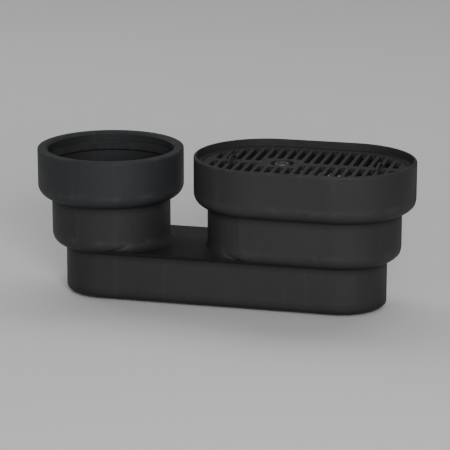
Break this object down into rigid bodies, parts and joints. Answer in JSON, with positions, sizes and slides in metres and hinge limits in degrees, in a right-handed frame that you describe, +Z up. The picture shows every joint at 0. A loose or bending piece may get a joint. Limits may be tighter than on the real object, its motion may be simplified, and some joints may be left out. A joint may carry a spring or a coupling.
{
  "type": "submersible sump pump",
  "caption": "Low black sump pump in a stepped casing: riser socket on one tower, open round-ended bowl with a pump unit on the other, one flat base.",
  "frame": {"origin": "middle of the footprint, on the plane that the rubber feet stand on", "axes": "+X along the casing from the socket tower to the bowl, +Z up; the socket's axis and the motor's axis are parallel to Z"},
  "size_m": [0.334, 0.128, 0.13],
  "materials": {
    "casing_plastic": "satin",
    "collar_plastic": "satin",
    "seal_rubber": "matte",
    "foot_rubber": "matte",
    "fastener_steel": "satin",
    "pump_plastic": "matte",
    "flap_plastic": "satin",
    "can_steel": "brushed",
    "cast_aluminium": "matte",
    "gland_plastic": "matte",
    "lamination_steel": "satin",
    "copper_wire": "gloss",
    "terminal_plastic": "satin",
    "shaft_steel": "polished",
    "cage_aluminium": "satin",
    "bearing_steel": "polished",
    "seal_lip_rubber": "matte",
    "ceramic": "polished",
    "carbon": "satin",
    "impeller_plastic": "satin"
  },
  "bodies": {
    "casing": {"base_pan": "casing_plastic", "mid_casing": "casing_plastic", "bowl_ring": "casing_plastic", "socket_collar": "collar_plastic", "pan_seal": "seal_rubber", "bowl_seal": "seal_rubber", "collar_seal": "seal_rubber", "bulkhead_seal": "seal_rubber", "lip_seal": "seal_rubber", "feet": "foot_rubber", "pan_screws": "fastener_steel", "bowl_screws": "fastener_steel", "collar_screws": "fastener_steel", "volute_body": "pump_plastic", "volute_screws": "fastener_steel", "volute_cover": "pump_plastic", "flap_pin": "fastener_steel", "motor_bracket": "cast_aluminium", "motor_can": "can_steel", "can_rings": "seal_rubber", "motor_cap": "cast_aluminium", "tie_rods": "fastener_steel", "rod_washers": "fastener_steel", "rod_nuts": "fastener_steel", "gland_body": "gland_plastic", "gland_seal": "seal_rubber", "gland_nut": "gland_plastic", "stator_core": "lamination_steel", "windings": "copper_wire", "thermal_switch": "terminal_plastic", "terminal_block": "terminal_plastic", "lower_outer_race": "bearing_steel", "upper_outer_race": "bearing_steel", "wave_washer": "fastener_steel", "shaft_lip_seal": "seal_lip_rubber", "seal_seat": "ceramic"},
    "rotor": {"shaft": "shaft_steel", "rotor_core": "lamination_steel", "rotor_cage": "cage_aluminium", "lower_inner_race": "bearing_steel", "upper_inner_race": "bearing_steel", "seal_face": "carbon", "seal_spring": "fastener_steel", "impeller": "impeller_plastic", "impeller_bolt": "fastener_steel"},
    "lower_ball_set": {"lower_balls": "bearing_steel"},
    "upper_ball_set": {"upper_balls": "bearing_steel"},
    "check_flap": {"flap": "flap_plastic", "flap_facing": "seal_rubber"},
    "strainer_plate": {"strainer": "casing_plastic"}
  },
  "joints": [
    {"name": "rotor_spin", "type": "hinge", "parent": "casing", "child": "rotor", "pos_m": [0.0705, 0, 0.06], "axis": [0, 0, 1], "continuous": true},
    {"name": "lower_balls_roll", "type": "hinge", "parent": "casing", "child": "lower_ball_set", "pos_m": [0.0705, 0, 0.061], "axis": [0, 0, 1], "continuous": true},
    {"name": "upper_balls_roll", "type": "hinge", "parent": "casing", "child": "upper_ball_set", "pos_m": [0.0705, 0, 0.1019], "axis": [0, 0, 1], "continuous": true},
    {"name": "flap_swing", "type": "hinge", "parent": "casing", "child": "check_flap", "pos_m": [-0.0181, 0, 0.0397], "axis": [0, 1, 0], "range_deg": [0, 70]},
    {"name": "strainer_lift", "type": "slide", "parent": "casing", "child": "strainer_plate", "axis": [0, 0, 1], "range_m": [0, 0.05]}
  ],
  "couplings": [
    {"joint": "lower_balls_roll", "follows": "rotor_spin", "ratio": 0.372},
    {"joint": "upper_balls_roll", "follows": "rotor_spin", "ratio": 0.372}
  ]
}
